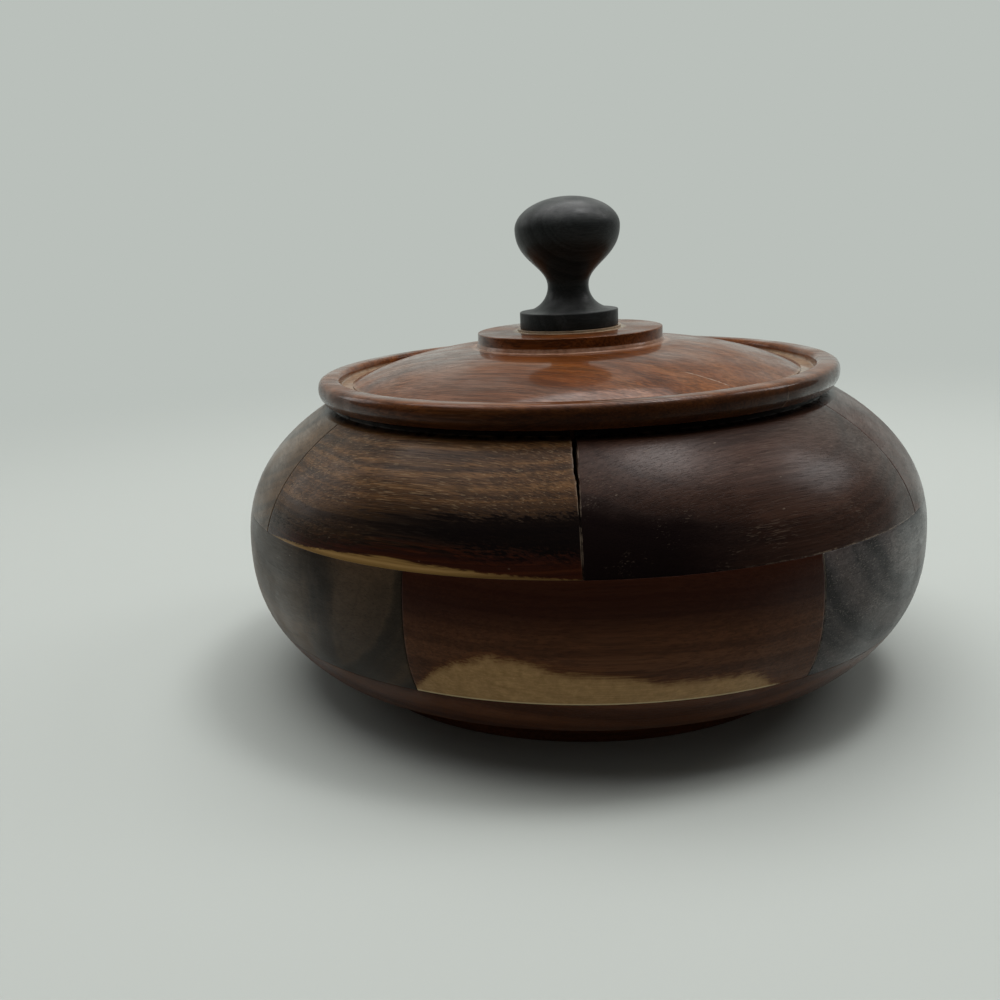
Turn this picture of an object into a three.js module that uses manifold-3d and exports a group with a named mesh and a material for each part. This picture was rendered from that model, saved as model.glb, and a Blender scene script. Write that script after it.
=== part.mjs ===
import * as THREE from "three";
import { mergeVertices } from "three/addons/utils/BufferGeometryUtils.js";
import Module from "manifold-3d";

// Lidded bowl, turned from glued-up hardwood boards. Millimetres, +Z up.
// It stands on Z = 0 with its turning axis on Z. The front faces -Y.

// Boards of the bowl, from the table up
const baseThickness = 17.5;
const lowerRingThickness = 25.1;
const upperRingThickness = 23.1;

// Outside of the bowl: one full curve above the belly and one below it.
// A reach is the height from the belly to where that curve would close on the axis.
// A fullness of 2 is an ellipse, and more is squarer.
const bellyRadius = 78.0;
const bellyHeight = 34.1;
const shoulderReach = 42.9;
const shoulderFullness = 2.31;
const undersideReach = 43.6;
const undersideFullness = 2.43;

// Inside of the bowl
const wall = 7.0;
const floorThickness = 8.0;
const floorFullness = 4.0;

// Lip of the mouth, standing up inside the shoulder
const lipHeight = 1.8;
const lipStep = 1.3;
const lipWidth = 4.8;
const lipEase = 0.4;

// Foot under the base board, with the shallow recess by which it was held for turning
const outsideEdgeHeight = 9.0;
const footRadius = 53.6;
const footHeight = 4.0;
const footEase = 0.4;
const recessRadius = 44.5;
const recessDepth = 2.0;

// Joints between the blocks. The lower ring was glued up about the turning axis, and the upper one
// a little to the left of it, its front joint turned a little left of the middle of the block below.
const blocksPerRing = 6;
const glueLine = 0.3;
const turningAxis = new THREE.Vector2(0, 0);
const upperRingCentre = new THREE.Vector2(-3.0, 0.3);
const upperRingTurn = THREE.MathUtils.degToRad(-2.3);
const crackWidth = 1.1;
const crackDepth = 14.5;

// Lid: rim, groove, dome and collar
const seatGap = 0.3;
const rimOverhang = 1.9;
const rimHeight = 5.1;
const rimWidth = 5.2;
const rimRounding = 1.1;
const rimEase = 0.4;
const rimBevelWidth = 1.2;
const rimBevelHeight = 1.7;
const grooveWidth = 1.4;
const grooveDepth = 2.5;
const domeRise = 8.0;
const domeFullness = 3.05;
const collarRadius = 21.3;
const collarHeight = 3.2;
const collarFootWidth = 0.4;
const collarFootHeight = 0.8;
const collarEase = 0.3;
const knobSeatMargin = 0.6;
const knobSeatHeight = 0.5;

// Underside of the lid: a spigot that finds the mouth, and a shallow hollow
const spigotClearance = 0.5;
const spigotDepth = 3.5;
const spigotWidth = 4.0;
const spigotEase = 0.6;
const hollowRise = 4.0;

// The lid is two boards, glued edge to edge along their grain
const lidGrainAngle = THREE.MathUtils.degToRad(-28);
const lidJointOffset = 22.9;

// Knob: flange, hollow neck, bell-shaped head and a tenon glued into the lid
const flangeRadius = 11.3;
const flangeThickness = 3.8;
const flangeEase = 0.3;
const coveMargin = 0.6;
const waistRadius = 4.7;
const waistHeight = 5.6;
const headRadius = 11.95;
const headHeight = 13.1;
const crownHeight = 7.0;
const bellPullBelow = 4.6;
const bellPullAbove = 7.2;
const tenonRadius = 3.8;
const tenonLength = 7.0;
const tenonClearance = 0.3;

// Facets round each turned piece
const bowlFacets = 60;
const knobFacets = 32;

// Heights and radii that follow from the sizes above
const lowerRingBottom = baseThickness;
const upperRingBottom = lowerRingBottom + lowerRingThickness;
const bowlTop = upperRingBottom + upperRingThickness;
const shoulderTop = bowlTop - lipHeight;
const lipRadius = outsideRadius(shoulderTop) - lipStep;
const mouthRadius = lipRadius - lipWidth;
const lidSeat = bowlTop + seatGap;
const rimRadius = lipRadius + rimOverhang;
const rimTop = lidSeat + rimHeight;
const grooveRadius = rimRadius - rimWidth;
const domeRadius = grooveRadius - grooveWidth;
const domeEdge = rimTop - grooveDepth;
const collarFootRadius = collarRadius + collarFootWidth;
const collarBottom = domeHeight(collarFootRadius);
const collarTop = collarBottom + collarHeight;
const knobSeat = collarTop + knobSeatHeight;

const wasm = await Module();
wasm.setup();

// Outside radius of the bowl at a height
function outsideRadius(z) {
  const above = z > bellyHeight;
  const reach = above ? shoulderReach : undersideReach;
  const fullness = above ? shoulderFullness : undersideFullness;
  return bellyRadius * Math.sqrt(1 - (Math.abs(z - bellyHeight) / reach) ** fullness);
}

// Inside radius of the bowl at a height: the outside drawn in by the wall, and a rounded floor
function insideRadius(z) {
  const above = z > bellyHeight;
  const reach = above ? shoulderReach - wall : bellyHeight - floorThickness;
  const fullness = above ? shoulderFullness : floorFullness;
  return (bellyRadius - wall) * Math.sqrt(1 - (Math.abs(z - bellyHeight) / reach) ** fullness);
}

// Height at which the inside of the shoulder has a given radius
function insideShoulderHeight(radius) {
  const fill = 1 - (radius / (bellyRadius - wall)) ** 2;
  return bellyHeight + (shoulderReach - wall) * fill ** (1 / shoulderFullness);
}

// Height of the rounded floor at a radius
function floorHeight(radius) {
  const fill = 1 - (radius / (bellyRadius - wall)) ** 2;
  return bellyHeight - (bellyHeight - floorThickness) * fill ** (1 / floorFullness);
}

// Top of the lid's dome at a radius
function domeHeight(radius) {
  return domeEdge + domeRise * (1 - (radius / domeRadius) ** domeFullness);
}

// Points [radius, height] along part of an outline, at even steps of the value that the curve takes
function along(from, to, steps, pointAt) {
  return Array.from({ length: steps + 1 }, (_, i) => pointAt(from + ((to - from) * i) / steps));
}

const outsidePoint = (z) => [outsideRadius(z), z];
const insidePoint = (z) => [insideRadius(z), z];

// A body turned about Z from an outline that runs anticlockwise in radius and height
function turned(outline, facets) {
  const distinct = outline.filter(([r, z], i) => {
    return i === 0 || Math.hypot(r - outline[i - 1][0], z - outline[i - 1][1]) > 1e-6;
  });
  const points = distinct.map(([r, z]) => new THREE.Vector2(r, z));
  return new THREE.LatheGeometry(points, facets).rotateX(Math.PI / 2);
}

function toSolid(geometry) {
  const bare = geometry.clone();
  bare.deleteAttribute("normal");
  bare.deleteAttribute("uv");
  const merged = mergeVertices(bare, 1e-5);
  const corners = merged.index.array;
  const triVerts = [];
  for (let i = 0; i < corners.length; i += 3) {
    const [a, b, c] = corners.slice(i, i + 3);
    if (a !== b && b !== c && c !== a) triVerts.push(a, b, c);
  }
  return new wasm.Manifold(
    new wasm.Mesh({
      numProp: 3,
      vertProperties: new Float32Array(merged.attributes.position.array),
      triVerts: new Uint32Array(triVerts),
    }),
  );
}

function toGeometry(solid) {
  const mesh = solid.getMesh();
  const geometry = new THREE.BufferGeometry();
  geometry.setAttribute("position", new THREE.BufferAttribute(mesh.vertProperties, 3));
  geometry.setIndex(new THREE.BufferAttribute(mesh.triVerts, 1));
  geometry.computeVertexNormals();
  return geometry;
}

// Wood finishes. Every block has its own, as in the photograph.
function wood(color, roughness) {
  return new THREE.MeshStandardMaterial({ color, roughness, metalness: 0 });
}

function piece(name, geometry, material) {
  const mesh = new THREE.Mesh(geometry, material);
  mesh.name = name;
  return mesh;
}

// Base board: dished inside, curved outside, and undercut with a cove to its foot
function baseBoard() {
  const edgeRadius = outsideRadius(outsideEdgeHeight);
  const cove = (turn) => [
    edgeRadius - (edgeRadius - footRadius) * Math.cos(turn),
    footHeight + (outsideEdgeHeight - footHeight) * Math.sin(turn),
  ];
  const outline = [
    [0, recessDepth],
    [recessRadius - recessDepth / 2, recessDepth],
    [recessRadius, 0],
    [footRadius - footEase, 0],
    [footRadius, footEase],
    ...along(0, Math.PI / 2, 4, cove),
    ...along(outsideEdgeHeight, baseThickness, 3, outsidePoint),
    ...along(insideRadius(baseThickness), 0, 7, (r) => [r, floorHeight(r)]),
  ];
  return piece("base_board", turned(outline, bowlFacets), wood(0x4a2418, 0.5));
}

// A tall wedge that holds one block of a ring, drawn in by half a glue line at both joints.
// Angles are measured from -Y towards +X.
function blockWedge(centre, fromAngle, toAngle) {
  const halfTurn = (toAngle - fromAngle) / 2;
  const reach = 4 * bellyRadius;
  const towards = (origin, angle, distance) =>
    new THREE.Vector2(
      origin.x + distance * Math.sin(angle),
      origin.y - distance * Math.cos(angle),
    );
  const tip = towards(centre, fromAngle + halfTurn, glueLine / 2 / Math.sin(halfTurn));
  const shape = new THREE.Shape([
    tip,
    towards(tip, fromAngle, reach),
    towards(tip, toAngle, reach),
  ]);
  return toSolid(new THREE.ExtrudeGeometry(shape, { depth: 2 * bowlTop, bevelEnabled: false }));
}

// Cuts a turned ring into its blocks, the first one just right of the joint at firstJoint
function blocks(name, ring, centre, firstJoint, materials) {
  const turn = (2 * Math.PI) / blocksPerRing;
  return Array.from({ length: blocksPerRing }, (_, i) => {
    const from = firstJoint + i * turn;
    const block = ring.intersect(blockWedge(centre, from, from + turn));
    return piece(`${name}_${i + 1}`, toGeometry(block), materials[i % materials.length]);
  });
}

// Lower ring: plain blocks. Block 1 is the front one, with a joint at both sides of the front.
function lowerRing() {
  const outline = [
    ...along(lowerRingBottom, bellyHeight, 3, outsidePoint),
    ...along(bellyHeight, upperRingBottom, 3, outsidePoint),
    ...along(upperRingBottom, bellyHeight, 2, insidePoint),
    ...along(bellyHeight, lowerRingBottom, 4, insidePoint),
    outsidePoint(lowerRingBottom),
  ];
  const ring = toSolid(turned(outline, bowlFacets));
  const finishes = [
    wood(0x452319, 0.5),
    wood(0x2b211c, 0.5),
    wood(0x4d2b1c, 0.5),
    wood(0x3a2219, 0.5),
    wood(0x54301d, 0.5),
    wood(0x3d2a20, 0.5),
  ];
  return blocks("lower_block", ring, turningAxis, -Math.PI / blocksPerRing, finishes);
}

// The front joint of the upper ring has opened from the top: a thin wedge of air
function frontCrack() {
  const mouthOfCrack = bowlTop + lipHeight;
  const widthThere = crackWidth * (1 + lipHeight / crackDepth);
  const shape = new THREE.Shape([
    new THREE.Vector2(0, bowlTop - crackDepth),
    new THREE.Vector2(widthThere / 2, mouthOfCrack),
    new THREE.Vector2(-widthThere / 2, mouthOfCrack),
  ]);
  const prism = new THREE.ExtrudeGeometry(shape, { depth: 2 * bellyRadius, bevelEnabled: false });
  prism.rotateX(Math.PI / 2);
  prism.rotateZ(upperRingTurn);
  prism.translate(upperRingCentre.x, upperRingCentre.y, 0);
  return toSolid(prism);
}

// Upper ring: blocks with the shoulder, the lip and the mouth. Block 1 is front right.
function upperRing() {
  const outline = [
    ...along(upperRingBottom, shoulderTop, 7, outsidePoint),
    [lipRadius, shoulderTop],
    [lipRadius, bowlTop - lipEase],
    [lipRadius - lipEase, bowlTop],
    [mouthRadius, bowlTop],
    ...along(insideShoulderHeight(mouthRadius), upperRingBottom, 5, insidePoint),
    outsidePoint(upperRingBottom),
  ];
  const ring = toSolid(turned(outline, bowlFacets)).subtract(frontCrack());
  const finishes = [
    wood(0x42231a, 0.45),
    wood(0x4b2d1e, 0.5),
    wood(0x55331f, 0.5),
    wood(0x3f261b, 0.5),
    wood(0x5a4431, 0.5),
    wood(0x553825, 0.5),
  ];
  return blocks("upper_block", ring, upperRingCentre, upperRingTurn, finishes);
}

// Outline of the whole lid, from the middle of its underside round to the knob's socket
function lidOutline() {
  const spigotRadius = mouthRadius - spigotClearance;
  const hollowRadius = spigotRadius - spigotWidth;
  const hollow = (r) => [r, lidSeat + hollowRise * (1 - (r / hollowRadius) ** 2)];
  const rounding = (turn) => [
    rimRadius - rimRounding * (1 - Math.cos(turn)),
    rimTop - rimRounding * (1 - Math.sin(turn)),
  ];
  const knobSeatRadius = flangeRadius + knobSeatMargin;
  const socketRadius = tenonRadius + tenonClearance;
  const socketBottom = knobSeat - tenonLength - tenonClearance;
  return [
    ...along(0, hollowRadius, 5, hollow),
    [hollowRadius, lidSeat - spigotDepth],
    [spigotRadius - spigotEase, lidSeat - spigotDepth],
    [spigotRadius, lidSeat - spigotDepth + spigotEase],
    [spigotRadius, lidSeat],
    [rimRadius - rimBevelWidth, lidSeat],
    [rimRadius, lidSeat + rimBevelHeight],
    ...along(0, Math.PI / 2, 3, rounding),
    [grooveRadius + rimEase, rimTop],
    [grooveRadius, rimTop - rimEase],
    [grooveRadius, domeEdge],
    ...along(domeRadius, collarFootRadius, 7, (r) => [r, domeHeight(r)]),
    [collarFootRadius, collarBottom + collarFootHeight],
    [collarRadius, collarBottom + collarFootHeight],
    [collarRadius, collarTop - collarEase],
    [collarRadius - collarEase, collarTop],
    [knobSeatRadius, collarTop],
    [knobSeatRadius, knobSeat],
    [socketRadius, knobSeat],
    [socketRadius, socketBottom],
    [0, socketBottom],
  ];
}

// The side of the lid's glue joint that lies ahead of it (-1) or behind it (+1)
function boardSide(side) {
  const width = 4 * rimRadius;
  const box = new THREE.BoxGeometry(2 * width, width, width);
  box.translate(0, -lidJointOffset + (side * (width + glueLine)) / 2, lidSeat);
  return toSolid(box.rotateZ(lidGrainAngle));
}

function lidBoards() {
  const lid = toSolid(turned(lidOutline(), bowlFacets));
  const front = toGeometry(lid.intersect(boardSide(-1)));
  const back = toGeometry(lid.intersect(boardSide(1)));
  return [
    piece("lid_front_board", front, wood(0x6d3c27, 0.3)),
    piece("lid_back_board", back, wood(0x7a4630, 0.3)),
  ];
}

function knob() {
  const flangeTop = knobSeat + flangeThickness;
  const waist = flangeTop + waistHeight;
  const head = waist + headHeight;
  const coveRadius = flangeRadius - coveMargin;
  const cove = (turn) => [
    coveRadius - (coveRadius - waistRadius) * Math.cos(turn),
    waist - waistHeight * Math.sin(turn),
  ];
  const bell = new THREE.CubicBezierCurve(
    new THREE.Vector2(waistRadius, waist),
    new THREE.Vector2(waistRadius, waist + bellPullBelow),
    new THREE.Vector2(headRadius, head - bellPullAbove),
    new THREE.Vector2(headRadius, head),
  );
  const crown = (turn) => [headRadius * Math.cos(turn), head + crownHeight * Math.sin(turn)];
  const outline = [
    [0, knobSeat - tenonLength],
    [tenonRadius, knobSeat - tenonLength],
    [tenonRadius, knobSeat],
    [flangeRadius - flangeEase, knobSeat],
    [flangeRadius, knobSeat + flangeEase],
    [flangeRadius, flangeTop - flangeEase],
    [flangeRadius - flangeEase, flangeTop],
    ...along(Math.PI / 2, 0, 5, cove),
    ...bell.getPoints(8).map((p) => p.toArray()),
    ...along(0, Math.PI / 2, 6, crown).slice(0, -1),
    [0, head + crownHeight],
  ];
  return piece("knob", turned(outline, knobFacets), wood(0x1d1b1a, 0.4));
}

const bowl = new THREE.Group();
bowl.add(baseBoard(), ...lowerRing(), ...upperRing());

const lid = new THREE.Group();
lid.add(...lidBoards(), knob());

const model = new THREE.Group();
model.add(bowl, lid);

export default model;
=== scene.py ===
import math

import bmesh
import bpy
from mathutils import Matrix, Vector


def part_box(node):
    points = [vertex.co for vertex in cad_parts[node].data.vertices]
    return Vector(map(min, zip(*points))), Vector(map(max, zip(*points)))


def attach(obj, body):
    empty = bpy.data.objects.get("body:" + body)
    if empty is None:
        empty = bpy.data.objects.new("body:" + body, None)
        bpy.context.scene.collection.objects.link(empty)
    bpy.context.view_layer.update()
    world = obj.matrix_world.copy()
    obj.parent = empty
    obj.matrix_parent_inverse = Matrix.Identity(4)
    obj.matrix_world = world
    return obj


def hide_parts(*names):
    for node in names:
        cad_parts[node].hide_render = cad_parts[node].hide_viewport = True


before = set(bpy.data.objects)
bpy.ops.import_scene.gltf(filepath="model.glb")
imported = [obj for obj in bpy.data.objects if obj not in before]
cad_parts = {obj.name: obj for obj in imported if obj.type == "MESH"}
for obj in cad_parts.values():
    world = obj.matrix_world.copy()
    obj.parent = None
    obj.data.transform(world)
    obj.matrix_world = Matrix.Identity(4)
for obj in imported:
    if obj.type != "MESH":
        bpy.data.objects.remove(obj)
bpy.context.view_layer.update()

# Base board
# The bowl stands on one round board of dark red-brown hardwood. It is turned with a low foot that
# is undercut by a cove, dished on the inside, and rubbed with wax to a satin finish.

# Sizes are in millimetres, and become metres where a mesh is made.
MM = 0.001
base_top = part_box("base_board")[1].z / MM
upper_ring_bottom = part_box("upper_block_1")[0].z / MM
bowl_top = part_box("upper_block_1")[1].z / MM
belly_radius = -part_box("lower_block_1")[0].y / MM
belly_height = 34.1
shoulder_reach = 42.9
shoulder_fullness = 2.31
underside_reach = 43.6
underside_fullness = 2.43
wall = 7.0
floor_thickness = 8.0
floor_fullness = 4.0
outside_edge_height = 9.0
foot_radius = 53.6
foot_height = 4.0
recess_radius = 44.5
recess_depth = 2.0
foot_ease = 0.5
board_ease = 0.12


def bulge(height, above_reach, above_fullness, below_reach, below_fullness):
    """Share of the full radius that a bowl curve has at a height, above or below the belly."""
    above = height > belly_height
    reach = above_reach if above else below_reach
    fullness = above_fullness if above else below_fullness
    return math.sqrt(1 - (abs(height - belly_height) / reach) ** fullness)


def outside(height):
    shape = (shoulder_reach, shoulder_fullness, underside_reach, underside_fullness)
    return belly_radius * bulge(height, *shape), height


def inside(height):
    floor_reach = belly_height - floor_thickness
    shape = (shoulder_reach - wall, shoulder_fullness, floor_reach, floor_fullness)
    return (belly_radius - wall) * bulge(height, *shape), height


def dish(radius):
    """Point of the rounded floor of the inside at a radius."""
    fill = 1 - (radius / (belly_radius - wall)) ** 2
    return radius, belly_height - (belly_height - floor_thickness) * fill ** (1 / floor_fullness)


def along(start, end, steps, point_at):
    """Points at even steps of the value that a curve takes."""
    return [point_at(start + (end - start) * step / steps) for step in range(steps + 1)]


def arc(middle, reach, start, end, steps):
    """Points along a curve round a middle, by its reach out and up and the turns at its two ends."""
    return along(start, end, steps, lambda turn: (middle[0] + reach[0] * math.cos(turn),
                                                  middle[1] + reach[1] * math.sin(turn)))


def eased(outline, steps=3):
    """An outline of (radius, height) points, rounded at each corner that has an ease as a third number."""
    result = []
    for number, point in enumerate(outline):
        corner = Vector(point[:2])
        if len(point) == 2:
            result.append(corner)
            continue
        ahead = Vector(outline[(number + 1) % len(outline)][:2])
        start = corner + (Vector(outline[number - 1][:2]) - corner).normalized() * point[2]
        end = corner + (ahead - corner).normalized() * point[2]
        for step in range(steps + 1):
            t = step / steps
            result.append(start * (1 - t) ** 2 + corner * 2 * t * (1 - t) + end * t**2)
    return result


def turned(name, outline, segments):
    """A mesh turned about Z from an outline that runs anticlockwise in radius and height.

    Turns are measured from the front, -Y, towards +X."""
    on_axis = 1e-6
    points, faces, rings = [], [], []
    for radius, height in outline:
        count = 1 if radius < on_axis else segments
        rings.append([len(points) + number for number in range(count)])
        for number in range(count):
            turn = 2 * math.pi * number / segments
            place = Vector((radius * math.sin(turn), -radius * math.cos(turn), height))
            points.append(place * MM)
    for first, second in zip(rings, rings[1:]):
        for number in range(segments):
            after = (number + 1) % segments
            face = [first[number % len(first)], first[after % len(first)]]
            face += [second[after % len(second)], second[number % len(second)]]
            faces.append(list(dict.fromkeys(face)))
    mesh = bpy.data.meshes.new(name)
    mesh.from_pydata(points, [], faces)
    return mesh


def show(name, mesh, material, body):
    """Puts a finished mesh in place of the node of the same name.

    Corners of the mesh that stick out are marked as worn, which the finishes use."""
    worn_corner, sharp_corner = math.radians(18), math.radians(38)
    shape = bmesh.new()
    shape.from_mesh(mesh)
    worn = shape.verts.layers.float.new("worn")
    for edge in shape.edges:
        if edge.is_manifold and edge.calc_face_angle_signed() > worn_corner:
            for corner in edge.verts:
                corner[worn] = 1.0
    shape.to_mesh(mesh)
    shape.free()
    mesh.shade_smooth()
    mesh.set_sharp_from_angle(angle=sharp_corner)
    mesh.materials.append(material)
    made = bpy.data.objects.new(name + "_turned", mesh)
    bpy.context.scene.collection.objects.link(made)
    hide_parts(name)
    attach(made, body)


def colour(code):
    """The shader's values for a colour written as it is seen, such as 4a2418."""
    shares = [int(code[at:at + 2], 16) / 255 for at in (0, 2, 4)]
    linear = [s / 12.92 if s < 0.04045 else ((s + 0.055) / 1.055) ** 2.4 for s in shares]
    return (*linear, 1.0)


def add(tree, kind, inputs=None, **settings):
    """A shader node. Each of its inputs is a number, a vector, a colour or another node's output."""
    made = tree.nodes.new("ShaderNode" + kind)
    for setting, value in settings.items():
        setattr(made, setting, value)
    for socket, value in (inputs or {}).items():
        if isinstance(value, bpy.types.NodeSocket):
            tree.links.new(value, made.inputs[socket])
        else:
            made.inputs[socket].default_value = value
    return made


def calc(tree, operation, *values):
    return add(tree, "Math", dict(enumerate(values)), operation=operation).outputs[0]


def step(tree, value, start, end):
    """A soft step, from 0 where a value is at start to 1 where it is at end."""
    limits = {"Value": value, "From Min": start, "From Max": end}
    made = add(tree, "MapRange", limits, interpolation_type="SMOOTHSTEP")
    return made.outputs["Result"]


def mix(tree, share, first, second, mode="MIX"):
    inputs = {0: share, 6: first, 7: second}
    return add(tree, "Mix", inputs, data_type="RGBA", blend_type=mode).outputs[2]


def laid_over(tree, seen, cover, share, tone):
    """The colour seen so far under a tone, which is at its full share where the cover is 1."""
    return mix(tree, calc(tree, "MULTIPLY", cover, share), seen, tone)


def apart(tree, one, other):
    return calc(tree, "ABSOLUTE", calc(tree, "SUBTRACT", one, other))


def stretch(tree, vector, scale):
    return add(tree, "VectorMath", {0: vector, 1: scale}, operation="MULTIPLY").outputs[0]


def cloud(tree, vector, scale=1.0, detail=2.0, roughness=0.5):
    """Soft noise from 0 to 1."""
    inputs = {"Vector": vector, "Scale": scale, "Detail": detail, "Roughness": roughness}
    return add(tree, "TexNoise", inputs).outputs[0]


def bands(tree, level, detail=2.0, roughness=0.5):
    """Noise that changes only with one value, so that it draws a line wherever that value is the same."""
    inputs = {"W": level, "Scale": 1.0, "Detail": detail, "Roughness": roughness}
    return add(tree, "TexNoise", inputs, noise_dimensions="1D").outputs[0]


def place_in_mm(tree):
    spot = add(tree, "TexCoord").outputs["Object"]
    return stretch(tree, spot, (1 / MM, 1 / MM, 1 / MM))


def split(tree, vector):
    return add(tree, "SeparateXYZ", {0: vector}).outputs


def from_axis(tree, spot):
    """How far a spot is from the turning axis."""
    flat = stretch(tree, spot, (1.0, 1.0, 0.0))
    return add(tree, "VectorMath", {0: flat}, operation="LENGTH").outputs["Value"]


def new_group(name, inputs, outputs):
    """A node group with number inputs and number outputs, and its input and output nodes."""
    group = bpy.data.node_groups.new(name, "ShaderNodeTree")
    for socket, value in inputs.items():
        made = group.interface.new_socket(socket, in_out="INPUT", socket_type="NodeSocketFloat")
        made.default_value = value
    for socket in outputs:
        group.interface.new_socket(socket, in_out="OUTPUT", socket_type="NodeSocketFloat")
    return group, group.nodes.new("NodeGroupInput").outputs, group.nodes.new("NodeGroupOutput").inputs


def make_timber():
    """Sawn hardwood as a solid: growth layers, dark veins, fibres, short pale and dark pores, flecks.

    The grain runs along X after the grain turn about Z. The layer tilt turns the flat layers about
    the grain, and the wander makes them wave. Spacing and wander are in millimetres."""
    inputs = {"Grain turn": 0.0, "Layer tilt": 0.0, "Spacing": 4.0, "Wander": 2.0, "Seed": 0.0}
    outputs = ("Figure", "Veins", "Fibres", "Pale pores", "Dark pores", "Flecks", "Height")
    group, given, result = new_group("Sawn hardwood", inputs, outputs)
    laid = place_in_mm(group)
    for angle, axis in (("Grain turn", "Z_AXIS"), ("Layer tilt", "X_AXIS")):
        back = calc(group, "MULTIPLY", given[angle], -1.0)
        laid = add(group, "VectorRotate", {"Vector": laid, "Angle": back}, rotation_type=axis).outputs[0]
    # Each board is cut from another part of the same endless timber.
    next_board = (37.0, 11.0, 23.0)
    shift = add(group, "VectorMath", {0: next_board, "Scale": given["Seed"]}, operation="SCALE").outputs[0]
    spot = add(group, "VectorMath", {0: laid, 1: shift}, operation="ADD").outputs[0]

    # Growth layers. The numbers of a stretch are per millimetre, along the grain and twice across it.
    wave = cloud(group, stretch(group, spot, (0.014, 0.04, 0.04)), detail=1.0)
    ripple = cloud(group, stretch(group, spot, (0.06, 0.3, 0.3)), detail=2.0)
    sway = calc(group, "MULTIPLY_ADD", wave, 2.0, calc(group, "MULTIPLY", ripple, 0.4))
    level = calc(group, "MULTIPLY_ADD", given["Wander"], sway, split(group, laid)[2])
    layer = calc(group, "DIVIDE", level, given["Spacing"])
    layer = calc(group, "MULTIPLY_ADD", given["Seed"], 5.3, layer)
    figure = bands(group, layer, detail=2.5, roughness=0.6)
    group.links.new(step(group, figure, 0.28, 0.72), result["Figure"])

    # Thin dark veins between the layers, broken here and there
    vein_level = calc(group, "MULTIPLY_ADD", layer, 2.1, 40.0)
    vein = apart(group, bands(group, vein_level, 1.0), 0.5)
    broken = step(group, cloud(group, stretch(group, spot, (0.03, 0.12, 0.12))), 0.38, 0.62)
    veins = calc(group, "MULTIPLY", step(group, vein, 0.06, 0.0), broken)
    group.links.new(veins, result["Veins"])

    fine = cloud(group, stretch(group, spot, (0.05, 2.6, 2.6)), detail=2.0, roughness=0.6)
    broad = cloud(group, stretch(group, spot, (0.02, 0.55, 0.55)), detail=2.0, roughness=0.6)
    fibre = calc(group, "MULTIPLY_ADD", fine, 1.3, calc(group, "MULTIPLY", broad, 0.7))
    fibre = step(group, fibre, 0.8, 1.2)
    group.links.new(fibre, result["Fibres"])

    # Pores cut lengthwise: the filled ones are pale and come in drifts, the open ones are dark.
    short = cloud(group, stretch(group, spot, (0.24, 4.2, 4.2)), detail=1.0)
    gathered = cloud(group, stretch(group, spot, (0.03, 0.2, 0.2)), detail=2.0)
    pale = calc(group, "MULTIPLY_ADD", gathered, -0.3, 0.8)
    pale = step(group, calc(group, "SUBTRACT", short, pale), -0.02, 0.05)
    dark = step(group, short, 0.4, 0.33)
    group.links.new(pale, result["Pale pores"])
    group.links.new(dark, result["Dark pores"])

    speck = add(group, "TexVoronoi", {"Vector": stretch(group, spot, (0.35, 0.9, 0.9)), "Scale": 1.0})
    chance = add(group, "SeparateColor", {0: speck.outputs["Color"]}).outputs[0]
    # Most specks get a size below 0, and so don't show.
    size = calc(group, "MULTIPLY_ADD", chance, 0.9, -0.78)
    flecks = step(group, calc(group, "SUBTRACT", speck.outputs["Distance"], size), 0.03, -0.03)
    group.links.new(flecks, result["Flecks"])

    height = calc(group, "MULTIPLY_ADD", fibre, 0.35, calc(group, "MULTIPLY", dark, -0.8))
    height = calc(group, "MULTIPLY_ADD", pale, -0.5, height)
    group.links.new(height, result["Height"])
    return group


def make_lathe_lines():
    """The faint rings that a turning tool and abrasive leave round the work."""
    group, given, result = new_group("Lathe lines", {"Lines per mm": 1.6}, ("Rings",))
    spot = place_in_mm(group)
    out_and_up = calc(group, "ADD", from_axis(group, spot), split(group, spot)[2])
    line = calc(group, "MULTIPLY", out_and_up, given["Lines per mm"])
    group.links.new(bands(group, line, detail=3.0, roughness=0.7), result["Rings"])
    return group


def make_wax():
    """Rubbed wax: even here, thin and patchy there, over patches of a few millimetres to centimetres."""
    group, given, result = new_group("Rubbed wax", {"Patches per mm": 0.05}, ("Wax", "Rubbed"))
    spot = place_in_mm(group)
    wide = cloud(group, spot, given["Patches per mm"], 4.0, 0.55)
    group.links.new(step(group, wide, 0.3, 0.7), result["Wax"])
    close = cloud(group, spot, calc(group, "MULTIPLY", given["Patches per mm"], 10.0), 3.0)
    group.links.new(step(group, close, 0.35, 0.65), result["Rubbed"])
    return group


timber = make_timber()
lathe_lines = make_lathe_lines()
rubbed_wax = make_wax()


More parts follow.
